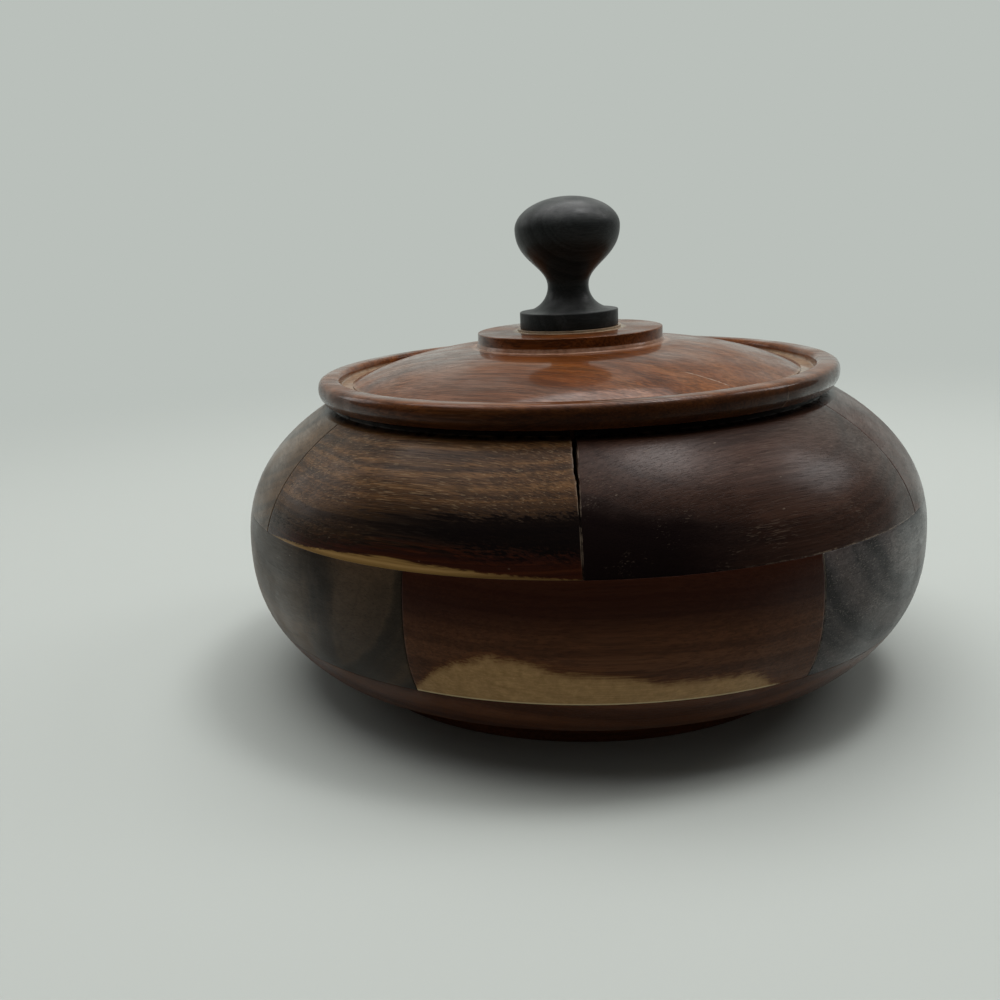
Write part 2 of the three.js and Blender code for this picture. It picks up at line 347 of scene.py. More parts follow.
def wood_material(name, grain, tones, finish, marks=()):
    """A waxed wood. The tones are dark, body, light and fleck, and marks add what one board alone has."""
    material = bpy.data.materials.new(name)
    material.use_nodes = True
    tree = material.node_tree
    wood = add(tree, "Group", grain, node_tree=timber).outputs
    wax = add(tree, "Group", node_tree=rubbed_wax).outputs
    dark, body, light, fleck = (colour(code) for code in tones)
    seen = laid_over(tree, body, step(tree, wood["Figure"], 0.4, 1.0), finish["figure"], light)
    seen = laid_over(tree, seen, step(tree, wood["Figure"], 0.6, 0.0), finish["figure"], dark)
    seen = laid_over(tree, seen, wood["Veins"], finish["veins"], dark)
    fibre = calc(tree, "MULTIPLY_ADD", wood["Fibres"], finish["fibres"], 1 - finish["fibres"] / 2)
    seen = mix(tree, 1.0, seen, fibre, "MULTIPLY")
    seen = laid_over(tree, seen, wood["Dark pores"], finish["dark_pores"], dark)
    seen = laid_over(tree, seen, wood["Pale pores"], finish["pale_pores"], fleck)
    seen = laid_over(tree, seen, wood["Flecks"], finish["flecks"], fleck)
    for mark in marks:
        seen = mark(tree, seen, wood)
    worn = add(tree, "Attribute", attribute_name="worn").outputs["Fac"]
    seen = laid_over(tree, seen, calc(tree, "MULTIPLY", worn, wax["Rubbed"]), finish["edges"], light)

    # Nearly black colour takes little wax and stays dull: oily and dirty wood, and painted shade.
    shine = step(tree, add(tree, "RGBToBW", {0: seen}).outputs[0], 0.0, finish["dull_below"])
    dull = 0.9
    rough = calc(tree, "MULTIPLY_ADD", wax["Wax"], -0.12, finish["roughness"] + 0.06 - dull)
    rough = calc(tree, "MULTIPLY_ADD", wood["Fibres"], 0.06, rough)
    rough = calc(tree, "MULTIPLY_ADD", rough, shine, dull)
    # Rubbed wax shines mostly where it is seen at a slant.
    slant = step(tree, add(tree, "LayerWeight", {"Blend": 0.5}).outputs["Facing"], 0.05, 0.75)
    coat = calc(tree, "MULTIPLY_ADD", wax["Wax"], 0.7 * finish["coat"], 0.35 * finish["coat"])
    coat = calc(tree, "MULTIPLY", coat, calc(tree, "MULTIPLY", slant, shine))
    coat = calc(tree, "MULTIPLY", coat, calc(tree, "MULTIPLY_ADD", wood["Fibres"], 0.5, 0.75))
    coat = calc(tree, "MULTIPLY", coat, calc(tree, "MULTIPLY_ADD", wood["Dark pores"], -0.4, 1.0))
    lines = add(tree, "Group", node_tree=lathe_lines).outputs[0]
    height = calc(tree, "MULTIPLY_ADD", lines, 0.25, wood["Height"])
    bump = add(tree, "Bump", {"Strength": finish["relief"], "Distance": 0.1 * MM, "Height": height})

    shader = tree.nodes["Principled BSDF"]
    tree.links.new(seen, shader.inputs["Base Color"])
    tree.links.new(rough, shader.inputs["Roughness"])
    tree.links.new(coat, shader.inputs["Coat Weight"])
    tree.links.new(bump.outputs[0], shader.inputs["Normal"])
    shader.inputs["Specular IOR Level"].default_value = finish["specular"]
    shader.inputs["Coat Roughness"].default_value = finish["coat_roughness"]
    shader.inputs["Coat IOR"].default_value = finish["coat_ior"]
    return material


satin = dict(roughness=0.36, specular=0.055, coat=0.8, coat_roughness=0.25, coat_ior=1.35,
             dull_below=0.012, relief=0.3, figure=0.5, veins=0.25, fibres=0.35, dark_pores=0.35,
             pale_pores=0.06, flecks=0.35, edges=0.4)
base_grain = {"Grain turn": math.radians(8), "Layer tilt": math.radians(14), "Spacing": 4.0,
              "Wander": 4.0, "Seed": 1.0}
base_wood = wood_material("Base board wood", base_grain, ("2c150d", "58331f", "694028", "8a6a52"), satin)

edge_radius = outside(outside_edge_height)[0]
cove_reach = (foot_radius - edge_radius, outside_edge_height - foot_height)
base_outline = eased([
    (0.0, recess_depth),
    (recess_radius - recess_depth / 2, recess_depth, foot_ease),
    (recess_radius, 0.0, foot_ease),
    (foot_radius, 0.0, foot_ease),
    *arc((edge_radius, foot_height), cove_reach, 0.0, math.pi / 2, 16),
    *along(outside_edge_height + 0.3, base_top - 0.3, 18, outside),
    (*outside(base_top), board_ease),
    (*inside(base_top), board_ease),
    *along(inside(base_top)[0] - 1, 0.0, 30, dish),
])
show("base_board", turned("base_board", base_outline, segments=288), base_wood, "bowl")

# Lower ring
# Six blocks of mixed dark hardwoods, sawn from one-inch board and glued end to end on the base
# board. Their grain follows the ring, and the front block still has its pale sapwood.

blocks_per_ring = 6
block_turn = 2 * math.pi / blocks_per_ring
turning_axis = Vector((0.0, 0.0))
tight_joint = 0.04
joint_ease = 0.12


def ring_side(low, high, steps, point_at, low_ease, high_ease):
    """Points up one side of a ring, with both corners eased."""
    path = along(low, high, steps, point_at)
    path = eased([(path[0][0] - 1, low), (*path[0], low_ease), *path[1:-1],
                  (*path[-1], high_ease), (path[-1][0] - 1, high)])
    return path[1:-1]


def evenly(path, count):
    """The same path with a set number of points at even distances."""
    lengths = [0.0]
    for first, second in zip(path, path[1:]):
        lengths.append(lengths[-1] + (Vector(second) - Vector(first)).length)
    result, at = [], 0
    for number in range(count):
        goal = lengths[-1] * number / (count - 1)
        while at < len(path) - 2 and lengths[at + 1] < goal:
            at += 1
        share = (goal - lengths[at]) / (lengths[at + 1] - lengths[at])
        result.append(Vector(path[at]).lerp(Vector(path[at + 1]), share))
    return result


def ring_block(name, outer, inner, centre, first_turn, last_turn, gaps, columns=44, layers=4):
    """A block of a ring, between two upright joints that pass through the ring's own centre.

    outer and inner are equally long paths of (radius, height) up its two sides. gaps are two
    functions that give half the width of the joint at each end, at a height."""
    rows = len(outer)
    profile = []
    for row in range(rows):
        profile.append([outer[row].lerp(inner[row], layer / layers) for layer in range(layers + 1)])

    def facing(row, layer):
        """Outward direction of the surface there, or nothing inside the block."""
        if layer in (0, layers):
            before, after = profile[max(row - 1, 0)][layer], profile[min(row + 1, rows - 1)][layer]
            run = (after - before).normalized()
            return Vector((run.y, -run.x)) * (1 if layer == 0 else -1)
        return Vector((0, {0: -1, rows - 1: 1}.get(row, 0)))

    facings = [[facing(row, layer) for layer in range(layers + 1)] for row in range(rows)]
    # The arris at each joint: how far a column stands off the joint, and how far it is drawn in
    arris = [(0.0, 1.0), (0.3, 0.3), (1.0, 0.0), (4.0, 0.0)]
    edge = len(arris)

    def turn_at(radius, height, end, off):
        turn = (first_turn, last_turn)[end]
        side = centre.x * math.cos(turn) + centre.y * math.sin(turn)
        stand_off = gaps[end](height) + off * joint_ease
        return turn + math.asin((side + (stand_off, -stand_off)[end]) / radius)

    def place(row, layer, column):
        from_end = min(column, columns - column)
        drawn_in = arris[from_end][1] * joint_ease if from_end < edge else 0.0
        radius, height = profile[row][layer] - facings[row][layer] * drawn_in
        if from_end < edge:
            turn = turn_at(radius, height, 0 if column < edge else 1, arris[from_end][0])
        else:
            start = turn_at(radius, height, 0, arris[-1][0])
            end = turn_at(radius, height, 1, arris[-1][0])
            turn = start + (end - start) * (column - edge + 1) / (columns - 2 * edge + 2)
        return Vector((radius * math.sin(turn), -radius * math.cos(turn), height)) * MM

    counts = (rows - 1, layers, columns)
    points, numbers, faces = [], {}, []

    def number_of(spot):
        if spot not in numbers:
            numbers[spot] = len(points)
            points.append(place(*spot))
        return numbers[spot]

    # A block has two faces across each of its three directions.
    for axis in range(3):
        one, two = (axis + 1) % 3, (axis + 2) % 3
        for end in (0, counts[axis]):
            for a in range(counts[one]):
                for b in range(counts[two]):
                    face = []
                    for step_one, step_two in ((0, 0), (1, 0), (1, 1), (0, 1)):
                        spot = [0, 0, 0]
                        spot[axis], spot[one], spot[two] = end, a + step_one, b + step_two
                        face.append(number_of(tuple(spot)))
                    faces.append(face if end else face[::-1])
    mesh = bpy.data.meshes.new(name)
    mesh.from_pydata(points, [], faces)
    return mesh


def waver(tree, spot, scale, detail=3.0, roughness=0.5):
    """Soft noise from -0.5 to 0.5, which makes the edge of a mark uneven."""
    return calc(tree, "SUBTRACT", cloud(tree, spot, scale, detail, roughness), 0.5)


# Marks are placed in millimetres: across from the bowl's middle, and up from the foot's underside.
def sapwood_stripe(tree, seen, wood):
    """The pale lens of sapwood along the bottom of the front block, with a hump at its left end."""
    spot = place_in_mm(tree)
    across, _, height = split(tree, spot)
    left_end, right_end, tallest = -40.0, 32.0, 10.0
    # Top of the sapwood: across the block in mm, and above the block's bottom in mm
    top = [(-38.6, 0.0), (-37, 1.2), (-34.6, 4.3), (-31.4, 6.9), (-27, 8.8), (-22.6, 9.5), (-19, 9.3),
           (-15, 8.4), (-11, 7.2), (-5, 6.6), (2.4, 5.9), (7.3, 4.8), (14, 4.4), (22, 4.3), (26.3, 3.1),
           (29, 1.2), (30.5, 0.0)]
    along_stripe = add(tree, "MapRange", {"Value": across, "From Min": left_end, "From Max": right_end})
    shape = add(tree, "FloatCurve", {"Value": along_stripe.outputs["Result"]})
    points = shape.mapping.curves[0].points
    while len(points) < len(top):
        points.new(0.5, 0.5)
    for point, (x, z) in zip(points, top):
        point.location = ((x - left_end) / (right_end - left_end), z / tallest)
    shape.mapping.update()
    streaks = calc(tree, "SUBTRACT", wood["Fibres"], 0.5)
    limit = calc(tree, "MULTIPLY_ADD", shape.outputs[0], tallest, base_top)
    limit = calc(tree, "MULTIPLY_ADD", waver(tree, spot, 0.2, 4.0, 0.6), 2.2, limit)
    limit = calc(tree, "MULTIPLY_ADD", streaks, 0.8, limit)
    above = calc(tree, "SUBTRACT", height, limit)
    near_top = step(tree, height, base_top + 11.5, upper_ring_bottom - 5)
    seen = laid_over(tree, seen, near_top, 0.85, colour("250a04"))
    seen = laid_over(tree, seen, step(tree, above, 2.2, 0.0), 0.45, colour("744420"))
    mottled = mix(tree, cloud(tree, spot, 0.6, 6.0, 0.75), colour("7c5a32"), colour("e2b680"))
    mottled = laid_over(tree, mottled, wood["Fibres"], 0.3, colour("846639"))
    bottom_edge = step(tree, height, base_top + 0.5, base_top + 0.25)
    mottled = laid_over(tree, mottled, bottom_edge, 0.6, colour("f0dcb0"))
    return mix(tree, step(tree, above, 1.2, -1.2), seen, mottled)


def make_glue_line():
    """Pale glue and filler in a joint: a hair line that wavers, and is broken here and there.

    Distance is how far the surface is from the joint, in millimetres."""
    inputs = {"Distance": 0.0, "Width": 0.2, "Waver": 0.2, "Broken": 0.5}
    group, given, result = new_group("Glue line", inputs, ("Glue",))
    spot = place_in_mm(group)
    reach = calc(group, "MULTIPLY", given["Waver"], 4.0)
    off = calc(group, "MULTIPLY_ADD", waver(group, spot, 0.5, 3.0, 0.6), reach, given["Distance"])
    off = calc(group, "DIVIDE", calc(group, "ABSOLUTE", off), given["Width"])
    there = calc(group, "SUBTRACT", cloud(group, spot, 0.35, 4.0, 0.7), given["Broken"])
    line = calc(group, "MULTIPLY", step(group, off, 1.0, 0.4), step(group, there, -0.08, 0.08))
    group.links.new(line, result["Glue"])
    return group


glue_line = make_glue_line()


def old_glue(tree, distance, **values):
    return add(tree, "Group", {"Distance": distance, **values}, node_tree=glue_line).outputs[0]


def joint_glue(tree, seen, wood):
    """Broken pale glue down the joint at the left end of the block right of the front."""
    across, back, _ = split(tree, place_in_mm(tree))
    from_joint = calc(tree, "MULTIPLY_ADD", across, math.cos(block_turn / 2),
                      calc(tree, "MULTIPLY", back, math.sin(block_turn / 2)))
    glue = old_glue(tree, from_joint, Width=0.3, Waver=0.12, Broken=0.52)
    return laid_over(tree, seen, glue, 0.6, colour("8d8272"))


def dark_heart(tree, seen, wood):
    """Dark heartwood in the right half of the block, with a wavy and nearly black edge."""
    outer, inner, black_line = -62.0, -56.0, -56.5
    spot = place_in_mm(tree)
    wavy = waver(tree, stretch(tree, spot, (1.0, 1.0, 0.5)), 0.12, 3.0, 0.6)
    across = calc(tree, "MULTIPLY_ADD", wavy, 10.0, split(tree, spot)[0])
    seen = laid_over(tree, seen, step(tree, across, outer, inner), 0.5, colour("16120d"))
    off_line = apart(tree, across, black_line)
    return laid_over(tree, seen, step(tree, off_line, 4.5, 0.5), 0.6, colour("0c0806"))


lower_path = ring_side(base_top, upper_ring_bottom, 30, outside, board_ease, board_ease)
lower_inner = evenly(along(base_top, upper_ring_bottom, 40, inside), len(lower_path))


def tight(height):
    """Half the width of a glued joint, which is the same at every height."""
    return tight_joint


charcoal = dict(satin, figure=0.7, flecks=0.45, pale_pores=0.26)
smoky = dict(charcoal, coat=0.6, figure=0.6, veins=0.2, fibres=0.25, flecks=0.3, pale_pores=0.06)
even = dict(satin, figure=0.35, veins=0.15)
# Each block's slot, tones, tilt of the layers in degrees, their spacing in mm, finish and marks
lower_woods = {
    1: ("red_wood", ("2c150c", "5c3924", "68442e", "8a6a50"), 10, 3.0, even, (sapwood_stripe,)),
    2: ("dark_wood", ("121010", "413c3b", "5a514e", "a0968a"), 70, 4.0, charcoal, (joint_glue,)),
    3: ("red_wood", ("24110b", "4d2b1c", "5c3424", "8a6a50"), 30, 3.0, satin, ()),
    4: ("dark_wood", ("140c09", "35211a", "46291f", "8f7a66"), 60, 3.0, charcoal, ()),
    5: ("brown_wood", ("27160d", "56331f", "65402a", "a0805c"), 40, 3.0, satin, ()),
    6: ("dark_wood", ("19130c", "544434", "705842", "8f8474"), 75, 6.0, smoky, (dark_heart,)),
}


def lay_ring(ring, woods, outer, inner, centre, start, wander, seed, joints):
    """Makes the blocks of a ring, the first of them from a start turn on.

    joints has the two ends of each block that isn't glued tight."""
    for number, (slot, tones, layer_tilt, spacing, finish, marks) in woods.items():
        name = f"{ring}_block_{number}"
        first = start + (number - 1) * block_turn
        grain = {"Grain turn": first + block_turn / 2, "Layer tilt": math.radians(layer_tilt),
                 "Spacing": spacing, "Wander": wander, "Seed": seed + number}
        material = wood_material(f"{ring.capitalize()} block {number} wood", grain, tones, finish, marks)
        gaps = joints.get(number, (tight, tight))
        mesh = ring_block(name, outer, inner, centre, first, first + block_turn, gaps)
        show(name, mesh, material, "bowl")


lay_ring("lower", lower_woods, lower_path, lower_inner, turning_axis, -block_turn / 2,
         wander=3.0, seed=10.0, joints={})

# Upper ring
# Six more blocks, laid so that their joints fall half a block from those below, and turned to the
# shoulder and to the lip that the lid sits on. The front joint has opened from the top.

upper_ring_centre = Vector((-3.0, 0.3))
upper_ring_turn = math.radians(-2.3)
lip_height = 1.8
lip_step = 2.6
lip_rise = 0.6
lip_width = 3.5
lip_ease = 0.4
shoulder_ease = 0.25
crack_width = 1.1
crack_depth = 14.5
open_joint = 0.12
shoulder_top = bowl_top - lip_height
lip_radius = outside(shoulder_top)[0] - lip_step
mouth_radius = lip_radius - lip_width


def dark_hair(height):
    """Half the width of the joint at the left, which shows as a dark hair."""
    return open_joint


def crack_side(side):
    """Half the width of the cracked joint at a height, at its left (-1) or its right (1)."""
    def half_gap(height):
        # The tear sways down its height, a little more on the right, and each side has its own jags.
        opened = max(0.0, (height - bowl_top + crack_depth) / crack_depth)
        sway = 0.6 * math.sin(0.9 * height + 1) + 0.4 * math.sin(2.3 * height) + 0.15 * math.sin(6.1 * height)
        torn = 0.06 * math.sin(5.3 * height + side) + 0.15 * side * sway
        return tight_joint + opened * crack_width / 2 + min(1.0, 2 * opened) * torn
    return half_gap


upper_path = ring_side(upper_ring_bottom, shoulder_top, 44, outside, board_ease, shoulder_ease)
lip_side = along(shoulder_top + 0.9, bowl_top - 0.6, 3, lambda height: (lip_radius, height))
upper_path += eased([(lip_radius, shoulder_top + lip_rise), *lip_side, (lip_radius, bowl_top, lip_ease),
                     (lip_radius - 1.0, bowl_top)])[:-1]
mouth_fill = 1 - (mouth_radius / (belly_radius - wall)) ** 2
mouth_height = belly_height + (shoulder_reach - wall) * mouth_fill ** (1 / shoulder_fullness)
upper_inner = along(upper_ring_bottom, mouth_height, 60, inside) + [(mouth_radius, bowl_top)]
upper_inner = evenly(upper_inner, len(upper_path))


def under_rim(tree, seen, wood):
    """Painted shade: near-black on the lip and in the step under the overhang of the lid's rim."""
    across, _, height = split(tree, place_in_mm(tree))
    off_front = step(tree, calc(tree, "ABSOLUTE", across), 15.0, 50.0)
    # The painted shade is nearly black at the front and dark brown towards the sides.
    rim_gap_shade = mix(tree, off_front, colour("060303"), colour("130a07"))
    return laid_over(tree, seen, step(tree, height, shoulder_top, shoulder_top + 0.4), 0.96, rim_gap_shade)


def crack_edges(tree, seen, wood):
    """Pale bruised wood along both edges of the cracked joint, fainter well below the crack."""
    across, back, height = split(tree, place_in_mm(tree))
    joint = Vector((math.cos(upper_ring_turn), math.sin(upper_ring_turn)))
    from_joint = calc(tree, "MULTIPLY_ADD", across, joint.x, -upper_ring_centre.dot(joint))
    from_joint = calc(tree, "MULTIPLY_ADD", back, joint.y, from_joint)
    above_end = calc(tree, "SUBTRACT", height, bowl_top - crack_depth)
    opened = calc(tree, "MULTIPLY", above_end, crack_width / 2 / crack_depth)
    opened = calc(tree, "MAXIMUM", opened, 0.0)
    off = calc(tree, "SUBTRACT", calc(tree, "ABSOLUTE", from_joint), opened)
    pale = old_glue(tree, calc(tree, "MAXIMUM", off, 0.0), Width=0.3, Waver=0.05, Broken=0.5)
    share = calc(tree, "MULTIPLY_ADD", step(tree, above_end, -9.0, -2.0), 0.24, 0.18)
    return laid_over(tree, seen, pale, share, colour("8c7a68"))


pale_fleck = colour("8a7866")


def sloped(tree, across, slope, at_middle):
    """A straight line across the block, from its slope and its value at the middle of the bowl."""
    return calc(tree, "MULTIPLY_ADD", across, slope, at_middle)


def front_left_marks(tree, seen, wood):
    """A nearly black band low on the block, red-brown wood under it and a sliver of sapwood below."""
    band_height = 50.1
    spot = place_in_mm(tree)
    across, _, height = split(tree, spot)
    streaks = calc(tree, "SUBTRACT", wood["Fibres"], 0.5)
    uneven = waver(tree, stretch(tree, spot, (0.2, 0.2, 1.4)), 0.25)
    uneven = calc(tree, "MULTIPLY_ADD", streaks, 1.1, uneven)
    dip = calc(tree, "MULTIPLY", step(tree, across, -36.0, -74.0), -4.2)
    middle = calc(tree, "MULTIPLY_ADD", uneven, 1.6, calc(tree, "ADD", dip, band_height))
    above = calc(tree, "SUBTRACT", height, middle)
    reddish = mix(tree, wood["Figure"], colour("260e07"), colour("3e1d0e"))
    seen = mix(tree, step(tree, above, -1.0, -3.6), seen, reddish)
    half_width = sloped(tree, across, 0.026, 4.2)
    off = calc(tree, "SUBTRACT", calc(tree, "ABSOLUTE", above), half_width)
    share = calc(tree, "MULTIPLY_ADD", step(tree, across, -66.0, -30.0), 0.38, 0.6)
    seen = laid_over(tree, seen, step(tree, off, 1.6, -1.6), share, colour("060202"))
    seen = laid_over(tree, seen, wood["Flecks"], 0.22, pale_fleck)
    # The sliver thickens from the left end of the block, and thins out again towards the crack.
    rise = calc(tree, "MINIMUM", sloped(tree, across, 0.075, 5.2), sloped(tree, across, -0.055, -0.25))
    top = calc(tree, "ADD", rise, calc(tree, "MULTIPLY_ADD", uneven, 0.25, upper_ring_bottom))
    sliver = step(tree, calc(tree, "SUBTRACT", top, height), -0.2, 0.25)
    pale = mix(tree, wood["Figure"], colour("846537"), colour("aa8752"))
    share = calc(tree, "MULTIPLY_ADD", step(tree, across, -38.0, -12.0), -0.5, 0.9)
    return laid_over(tree, seen, sliver, share, pale)


def front_right_marks(tree, seen, wood):
    """The wood turns nearly black low down beside the cracked joint, with old glue along its foot."""
    dark_height = 55.5
    spot = place_in_mm(tree)
    across, _, height = split(tree, spot)
    limit = calc(tree, "MULTIPLY_ADD", waver(tree, spot, 0.06), 8.0, dark_height)
    below = calc(tree, "SUBTRACT", sloped(tree, across, -0.15, limit), height)
    share = calc(tree, "MULTIPLY_ADD", step(tree, across, 8.0, 46.0), -0.75, 0.97)
    seen = laid_over(tree, seen, step(tree, below, -3.0, 3.5), share, colour("090202"))
    seen = laid_over(tree, seen, wood["Flecks"], 0.2, pale_fleck)
    patches = step(tree, cloud(tree, spot, 0.14, 4.0, 0.6), 0.52, 0.64)
    seen = laid_over(tree, seen, wood["Pale pores"], calc(tree, "MULTIPLY", patches, 0.14), pale_fleck)
    from_joint = calc(tree, "SUBTRACT", height, upper_ring_bottom)
    glue = old_glue(tree, from_joint, Width=0.32, Waver=0.2, Broken=0.48)
    glue = calc(tree, "MULTIPLY", glue, step(tree, across, 15.0, 50.0))
    return laid_over(tree, seen, glue, 0.5, colour("a08e7a"))


streaky = dict(satin, figure=0.42, veins=0.2, fibres=0.7, pale_pores=0.22, dark_pores=0.6, flecks=0.12)
plain = dict(satin, figure=0.35, veins=0.1, pale_pores=0.03, flecks=0.25)
# The same values for each block as in the lower ring
upper_woods = {
    1: ("red_wood", ("1c0d08", "3c281f", "4a3227", "a0907f"), 25, 2.5, plain,
        (front_right_marks, crack_edges, under_rim)),
    2: ("red_wood", ("200f09", "41271d", "4b2f24", "a89078"), 30, 2.5, satin, (under_rim,)),
    3: ("brown_wood", ("2a190e", "57371f", "6b482e", "b09a7a"), 20, 2.0, streaky, (under_rim,)),
    4: ("red_wood", ("1c0e08", "40261b", "4e2f22", "a89078"), 65, 2.5, satin, (under_rim,)),
    5: ("brown_wood", ("2c2013", "55422f", "6b543c", "b8a58a"), 30, 2.0, satin, (under_rim,)),
    6: ("brown_wood", ("21140a", "4c331c", "6b4c2b", "b09672"), 4, 1.3, streaky,
        (front_left_marks, crack_edges, under_rim)),
}
joints = {1: (crack_side(1), tight), 5: (tight, dark_hair), 6: (dark_hair, crack_side(-1))}
lay_ring("upper", upper_woods, upper_path, upper_inner, upper_ring_centre, upper_ring_turn,
         wander=1.4, seed=20.0, joints=joints)

# Lid
# Two boards of warmer red-brown hardwood, glued edge to edge and turned as one: a rounded rim, a
# narrow groove, a dome and a stepped collar. It is waxed to a gloss, and pale glue shows in the seam.

seat_gap = 0.3
rim_overhang = 3.2
rim_height = 5.1
rim_width = 5.2
rim_rounding = 2.0
rim_ease = 1.3
rim_bevel_width = 1.2
rim_bevel_height = 1.7
groove_width = 1.4
groove_depth = 2.5
groove_fill = 0.4
dome_step = 0.3
dome_rise = 8.0
dome_fullness = 3.05
collar_radius = 21.3
collar_height = 3.2
collar_foot_width = 0.4
collar_foot_height = 0.8
collar_ease = 0.3
knob_seat_radius = 11.9
knob_seat_height = 0.5
spigot_clearance = 0.5
spigot_depth = 3.5
spigot_width = 4.0
spigot_ease = 0.6
hollow_rise = 4.0
lid_grain_angle = math.radians(-28)
lid_joint_offset = 22.9
lid_joint_gap = 0.02
tenon_radius = 3.8
tenon_length = 7.0
tenon_clearance = 0.3

lid_seat = bowl_top + seat_gap
rim_radius = lip_radius + rim_overhang
rim_top = lid_seat + rim_height
groove_radius = rim_radius - rim_width
dome_radius = groove_radius - groove_width
dome_edge = rim_top - groove_depth
# Old wax fills the bottom of the groove, below the little step up to the dome.
groove_floor = dome_edge + groove_fill
groove_inner = dome_radius * (1 - (groove_fill + dome_step) / dome_rise) ** (1 / dome_fullness)
collar_foot_radius = collar_radius + collar_foot_width


def dome(radius):
    return radius, dome_edge + dome_rise * (1 - (radius / dome_radius) ** dome_fullness)


collar_bottom = dome(collar_foot_radius)[1]
collar_top = collar_bottom + collar_height
knob_seat = collar_top + knob_seat_height
spigot_radius = mouth_radius - spigot_clearance
hollow_radius = spigot_radius - spigot_width
spigot_bottom = lid_seat - spigot_depth
socket_radius = tenon_radius + tenon_clearance
socket_bottom = knob_seat - tenon_length - tenon_clearance


def hollow(radius):
    return radius, lid_seat + hollow_rise * (1 - (radius / hollow_radius) ** 2)


lid_outline = eased([
    *along(0.0, hollow_radius, 24, hollow),
    (hollow_radius, spigot_bottom, 0.3),
    (spigot_radius, spigot_bottom, spigot_ease),
    (spigot_radius, lid_seat, 0.15),
    (rim_radius - rim_bevel_width, lid_seat, 0.2),
    (rim_radius, lid_seat + rim_bevel_height, 1.0),
    (rim_radius, rim_top - rim_rounding - 0.3),
    (rim_radius, rim_top, rim_rounding),
    (groove_radius + rim_ease + 0.3, rim_top),
    (groove_radius, rim_top, rim_ease),
    (groove_radius, groove_floor, 0.5),
    (groove_inner, groove_floor),
    *along(groove_inner, collar_foot_radius + 0.5, 44, dome),
    (*dome(collar_foot_radius), 0.15),
    (collar_foot_radius - 0.1, collar_bottom + collar_foot_height / 2),
    (collar_radius, collar_bottom + collar_foot_height, 0.1),
    (collar_radius, collar_top, collar_ease),
    (knob_seat_radius, collar_top, 0.08),
    (knob_seat_radius, knob_seat, 0.08),
    (socket_radius, knob_seat, 0.1),
    (socket_radius, socket_bottom),
    (0.0, socket_bottom),
], steps=4)


def lid_board(name, side):
    """The part of the turned lid ahead of the glue seam (-1) or behind it (+1)."""
    shape = bmesh.new()
    shape.from_mesh(turned(name, lid_outline, segments=320))
    across = Matrix.Rotation(lid_grain_angle, 3, "Z") @ Vector((0, 1, 0))
    seam = across * (-lid_joint_offset + side * lid_joint_gap) * MM
    parts = shape.verts[:] + shape.edges[:] + shape.faces[:]
    cut = bmesh.ops.bisect_plane(shape, geom=parts, plane_co=seam, plane_no=across * side,
                                 clear_inner=True)["geom_cut"]
    bmesh.ops.contextual_create(shape, geom=[part for part in cut if isinstance(part, bmesh.types.BMEdge)])
    bmesh.ops.recalc_face_normals(shape, faces=shape.faces[:])
    mesh = bpy.data.meshes.new(name)
    shape.to_mesh(mesh)
    shape.free()
    return mesh


def seam_glue(tree, seen, wood):
    """A hair of pale glue along the right part of the seam, on the dome and faintly on the rim's side."""
    spot = add(tree, "VectorRotate", {"Vector": place_in_mm(tree), "Angle": -lid_grain_angle},
               rotation_type="Z_AXIS").outputs[0]
    along_seam, off_seam, height = split(tree, spot)
    from_seam = calc(tree, "ADD", off_seam, lid_joint_offset)
    glue = old_glue(tree, from_seam, Width=0.2, Waver=0.03, Broken=0.45)
    glue = calc(tree, "MULTIPLY", glue, step(tree, along_seam, 33.5, 36.0))
    on_dome = step(tree, along_seam, 43.5, 42.5)
    on_side = calc(tree, "MULTIPLY", step(tree, height, rim_top - 1.0, rim_top - 1.6), 0.3)
    glue = calc(tree, "MULTIPLY", glue, calc(tree, "MAXIMUM", on_dome, on_side))
    return laid_over(tree, seen, glue, 0.8, colour("c0a48e"))


def lid_dust(tree, seen, wood):
    """Pale dust in the groove, at the foot of the collar and round the knob's seat."""
    spot = place_in_mm(tree)
    height = split(tree, spot)[2]
    radius = calc(tree, "MULTIPLY_ADD", waver(tree, spot, 0.8, 3.0, 0.6), 1.2, from_axis(tree, spot))
    patchy = step(tree, cloud(tree, spot, 0.45, 4.0, 0.7), 0.25, 0.7)
    groove_middle = (groove_radius + groove_inner) / 2
    half_groove = (groove_radius - groove_inner) / 2
    foot_top = collar_bottom + collar_foot_height
    # Each ring of dust: middle radius, half its width, lowest and highest point, colour and share
    rings = [(groove_middle, half_groove, dome_edge, groove_floor + 0.5, "a08a70", 0.75),
             (collar_foot_radius + 0.3, 0.5, collar_bottom - 2, foot_top, "a07c66", 0.9),
             (knob_seat_radius + 0.2, 0.5, collar_top - 0.3, knob_seat + 0.5, "a8987f", 0.85)]
    for middle, half_width, low, high, tone, share in rings:
        off = calc(tree, "SUBTRACT", apart(tree, radius, middle), half_width)
        ring = calc(tree, "MULTIPLY", step(tree, off, 0.9, -0.3), step(tree, height, high + 0.2, high))
        ring = calc(tree, "MULTIPLY", ring, step(tree, height, low - 0.1, low))
        ring = calc(tree, "MULTIPLY", ring, calc(tree, "MULTIPLY_ADD", patchy, 0.6, 0.4))
        seen = laid_over(tree, seen, ring, share, colour(tone))
    return seen


def rim_side_shade(tree, seen, wood):
    """Painted shade: the side of the rim is darkened from its crest down, least so at the left."""
    spot = place_in_mm(tree)
    across, _, height = split(tree, spot)
    outward = step(tree, from_axis(tree, spot), rim_radius - 2.0, rim_radius - 0.8)
    side = calc(tree, "MULTIPLY", outward, step(tree, height, rim_top + 0.1, rim_top - 0.9))
    share = calc(tree, "MULTIPLY_ADD", step(tree, across, -50.0, -10.0), 0.35, 0.4)
    # Painted shade laid over the rim's side, stronger from the front round to the right.
    return laid_over(tree, seen, side, share, colour("1c0f09"))


